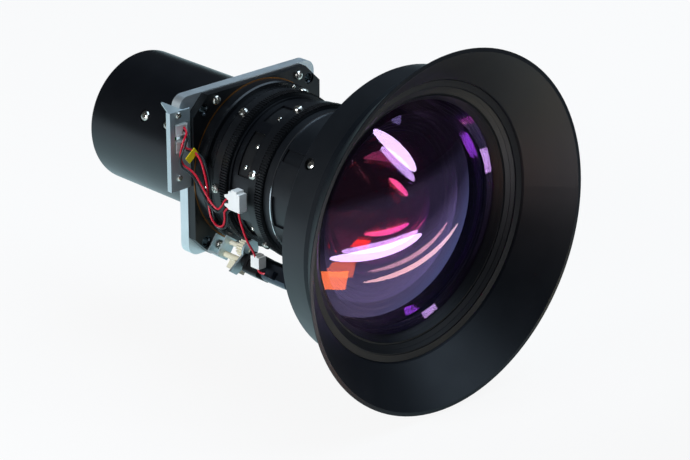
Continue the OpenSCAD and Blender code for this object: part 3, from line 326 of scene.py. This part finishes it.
seat_x, face_x, glass_radius, apex_x = 0.1335, 0.139, 0.0689, 0.1565
glass_thickness, rear_curve = 0.0068, 0.12
sag = apex_x - face_x
front_curve = (glass_radius ** 2 + sag ** 2) / (2 * sag)
rear_pole_x = apex_x - glass_thickness
hollow_radius = math.sqrt(rear_curve ** 2 - (rear_curve - rear_pole_x + seat_x) ** 2)
front_glass = turned_piece("front_glass", dome(rear_pole_x, rear_curve, hollow_radius)
                           + [(seat_x, glass_radius)]
                           + dome(apex_x, front_curve, glass_radius)[::-1],
                           finishes["coated_glass"])
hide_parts("front_element")

# Baffle: the plain outer band of the photograph, then a band with thin dark grooves. Its profile
# is a closed line of (x, radius)
baffle_profile = [(0.1366, 0.0724), (0.1366, 0.083), (0.149, 0.083), (0.149, 0.0826),
                  (0.1484, 0.0823), (0.1489, 0.0819), (0.1482, 0.0782), (0.1476, 0.0781),
                  (0.1476, 0.0776), (0.1462, 0.0757), (0.1459, 0.0757), (0.1443, 0.0733),
                  (0.1437, 0.0732), (0.1437, 0.0724), (0.1366, 0.0724)]
baffle = turned_piece("stepped_baffle", baffle_profile, finishes["baffle_black"])
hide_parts("baffle_ring")

# Glass ring: the inner band with its two grooves, which ends at the rim of the front glass. Its
# profile is a closed line too
ring_profile = [(0.1336, 0.0692), (0.1336, 0.0721), (0.1437, 0.0723), (0.1439, 0.072),
                (0.1421, 0.0706), (0.1419, 0.0706), (0.1398, 0.0688), (0.1392, 0.0685),
                (0.139, 0.0685), (0.139, 0.0692), (0.1336, 0.0692)]
glass_ring = turned_piece("glass_ring", ring_profile, finishes["baffle_black"])
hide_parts("front_retaining_ring")

# Second glass: the CAD's meniscus behind the front glass with finer steps. Its curves are given as
# shares of its radius, and its rear hollow ends at the flat seat
second_seat, second_radius, second_inner, second_depth = 0.0935, 0.039, 0.0368, 0.016
hollow_share, curve_share = 1.9, 1.59
second_hollow, second_curve = second_radius * hollow_share, second_radius * curve_share
second_sag = second_hollow - math.sqrt(second_hollow ** 2 - second_inner ** 2)
second_glass = turned_piece("second_glass",
                            dome(second_seat + second_sag, second_hollow, second_inner)
                            + [(second_seat, second_radius)]
                            + dome(second_seat + second_depth, second_curve, second_radius)[::-1],
                            finishes["optical_glass"])
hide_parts("second_element")

# Deep meniscus: a strongly curved glass behind the front one, a guess from the doubled reflections
# in the photograph. Its coating is amber and magenta
inner_face = dome(pole=0.137, curve=0.056, edge=0.0455)
outer_face = dome(pole=0.141, curve=0.062, edge=0.046)
amber_glass = glass("amber coated glass", "#f2ebe6",
                    [(0, "#d84a4a"), (0.3, "#c02a78"), (0.6, "#8a30a0"), (1, "#6a50c8")], 0.35)
meniscus = turned_piece("deep_meniscus", inner_face + outer_face[::-1], amber_glass)

# Stepped cone: the dark steps inside the lens that show through the front glass, each one a flat
# face and a slope back to the next
cone_x, cone_radius, cone_steps = 0.132, 0.0672, 9
step_depth, step_rise, step_face = 0.0018, 0.0024, 0.0014
steps = [(cone_x - step_depth * k, cone_radius - step_rise * k) for k in range(cone_steps)]
cone = turned_piece("stepped_cone", [p for x, r in steps for p in ((x, r), (x, r - step_face))],
                    finishes["baffle_black"])

# Latch arms of the in-line connector: two tapered tongues of white nylon beside the leads, thin
# at the end towards the plate
arm_rear_x, arm_front_x, arm_outer_y, arm_inner_y = 0.0447, 0.0486, -0.0546, -0.0534
tip_share, arm_bevel = 0.35, 0.0002


def tapered_arm(name, low_z, high_z):
    """An arm from low_z to high_z whose end towards -X has a share of that height"""
    mesh = bpy.data.meshes.new(name)
    shape = bmesh.new()
    bmesh.ops.create_cube(shape, size=1)
    low, high = Vector((arm_rear_x, arm_outer_y, low_z)), Vector((arm_front_x, arm_inner_y, high_z))
    middle, size = (low + high) / 2, high - low
    for vert in shape.verts:
        height = size.z * (tip_share if vert.co.x < 0 else 1)
        vert.co = middle + Vector((vert.co.x * size.x, vert.co.y * size.y, vert.co.z * height))
    bmesh.ops.bevel(shape, geom=shape.edges[:], offset=arm_bevel, segments=2, affect="EDGES")
    shape.to_mesh(mesh)
    shape.free()
    mesh.materials.append(finishes["white_nylon"])
    piece = bpy.data.objects.new(name, mesh)
    scene.collection.objects.link(piece)
    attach(piece, "lens_body")


tapered_arm("upper_latch", -0.0012, 0.003)
tapered_arm("lower_latch", -0.0062, -0.0028)

# Insulation of the leads: dark on the second lead of each pair, red on the others
for node, piece in leads.items():
    slot = "dark_insulation" if node.endswith("black") else "red_insulation"
    piece.data.materials.append(finishes[slot])

# Floor: a plain pale card that is nearly white to the camera, greyer ahead of the hood so that it
# throws less light up there. In reflections it is cool and bright, and fades ahead of the hood and
# towards -Y
floor_z, floor_reach = -0.1085, 6
camera_white = 0.9
floor_mesh = bpy.data.meshes.new("floor")
grid = bmesh.new()
bmesh.ops.create_grid(grid, x_segments=1, y_segments=1, size=floor_reach,
                      matrix=Matrix.Translation((0, 0, floor_z)))
grid.to_mesh(floor_mesh)
grid.free()
floor = bpy.data.objects.new("floor", floor_mesh)
scene.collection.objects.link(floor)
card = bpy.data.materials.new("pale paper floor")
card.use_nodes = True
tree = card.node_tree
tree.nodes.clear()
card_out = add(tree, "ShaderNodeOutputMaterial")
paper = add(tree, "ShaderNodeBsdfDiffuse")
bright = add(tree, "ShaderNodeEmission", Strength=1)
path = add(tree, "ShaderNodeLightPath")
place = add(tree, "ShaderNodeTexCoord")
parts = add(tree, "ShaderNodeSeparateXYZ")
tree.links.new(place.outputs["Object"], parts.inputs[0])
fade = add(tree, "ShaderNodeMapRange", From_Min=0.12, From_Max=0.3, To_Min=0.9, To_Max=0.03)
tree.links.new(parts.outputs["X"], fade.inputs["Value"])
side_fade = add(tree, "ShaderNodeMapRange", From_Min=-0.3, From_Max=-0.14, To_Min=0.2, To_Max=1)
tree.links.new(parts.outputs["Y"], side_fade.inputs["Value"])
both = add(tree, "ShaderNodeMath", operation="MULTIPLY")
tree.links.new(fade.outputs["Result"], both.inputs[0])
tree.links.new(side_fade.outputs["Result"], both.inputs[1])
mirrored = add(tree, "ShaderNodeMath", operation="MULTIPLY")
tree.links.new(path.outputs["Is Glossy Ray"], mirrored.inputs[0])
tree.links.new(both.outputs[0], mirrored.inputs[1])
cool = add(tree, "ShaderNodeMix", data_type="RGBA")
cool.inputs[6].default_value = (1, 1, 1, 1)
cool.inputs[7].default_value = (0.66, 0.92, 1, 1)
tree.links.new(path.outputs["Is Glossy Ray"], cool.inputs[0])
tree.links.new(cool.outputs[2], bright.inputs["Color"])
grey = add(tree, "ShaderNodeMapRange", From_Min=0.15, From_Max=0.4, To_Min=0.82, To_Max=0.12)
tree.links.new(parts.outputs["X"], grey.inputs["Value"])
tree.links.new(grey.outputs["Result"], paper.inputs["Color"])
glow = add(tree, "ShaderNodeMath", operation="MULTIPLY_ADD")
glow.inputs[1].default_value = camera_white
tree.links.new(path.outputs["Is Camera Ray"], glow.inputs[0])
tree.links.new(mirrored.outputs[0], glow.inputs[2])
card_mix = add(tree, "ShaderNodeMixShader")
tree.links.new(glow.outputs[0], card_mix.inputs[0])
tree.links.new(paper.outputs[0], card_mix.inputs[1])
tree.links.new(bright.outputs[0], card_mix.inputs[2])
tree.links.new(card_mix.outputs[0], card_out.inputs["Surface"])
floor_mesh.materials.append(card)

# Surroundings: white behind the lens for the camera, dim grey studio walls for everything else
world = bpy.data.worlds.new("studio")
scene.world = world
world.use_nodes = True
tree = world.node_tree
tree.nodes.clear()
world_out = add(tree, "ShaderNodeOutputWorld")
seen = add(tree, "ShaderNodeBackground", Color=(1, 1, 1, 1), Strength=1)
wall_colour, wall_strength = (0.75, 0.8, 0.9, 1), 0.035
walls = add(tree, "ShaderNodeBackground", Color=wall_colour, Strength=wall_strength)
path = add(tree, "ShaderNodeLightPath")
world_mix = add(tree, "ShaderNodeMixShader")
tree.links.new(path.outputs["Is Camera Ray"], world_mix.inputs[0])
tree.links.new(walls.outputs[0], world_mix.inputs[1])
tree.links.new(seen.outputs[0], world_mix.inputs[2])
tree.links.new(world_mix.outputs[0], world_out.inputs["Surface"])


# Lights: a broad overhead box that also lights the floor, a key box from the left, and a far strip
# that draws the long reflection in the front glass
def soft_box(name, place, target, width, height, power, colour, shape="ELLIPSE", roll=0):
    """An area light, width by height metres, aimed at the target and turned by roll degrees"""
    lamp = bpy.data.lights.new(name, "AREA")
    lamp.shape = shape
    lamp.size, lamp.size_y = width, height
    lamp.energy = power
    lamp.color = linear(colour)[:3]
    box = bpy.data.objects.new(name, lamp)
    box.location = place
    aim = (Vector(target) - Vector(place)).to_track_quat("-Z", "Y").to_matrix()
    box.rotation_euler = (aim @ Matrix.Rotation(math.radians(roll), 3, "Z")).to_euler()
    scene.collection.objects.link(box)


soft_box("overhead box", (0.4, 0.75, 1.5), (0.3, -0.1, 0), 2.6, 1.6, 34, "#cfe8ff", "RECTANGLE")
soft_box("key box", (0, -1.5, 0.55), (0.03, 0, 0), 0.5, 0.5, 19, "#f2f8ff")
soft_box("strip box", (1.42, 0.65, 0.33), (0.15, 0, 0), 0.16, 0.75, 3.4, "#f4f8ff", roll=35)

# Floor strips: three small lights that lie just above the floor in front of the hood and shine
# straight up, for the crescents and the amber patch low in the glass
strip_z = -0.103
for name, x, y, width, height, power, colour, shape in [
        ("floor strip", 0.33, 0.025, 0.055, 0.23, 0.4, "#f6f4ff", "ELLIPSE"),
        ("amber floor strip", 0.25, -0.07, 0.05, 0.05, 0.07, "#ff8a10", "RECTANGLE"),
        ("warm floor strip", 0.238, 0.1, 0.014, 0.24, 0.06, "#ffe9b0", "ELLIPSE")]:
    soft_box(name, (x, y, strip_z), (x, y, 0), width, height, power, colour, shape)

scene.view_settings.view_transform = "Standard"
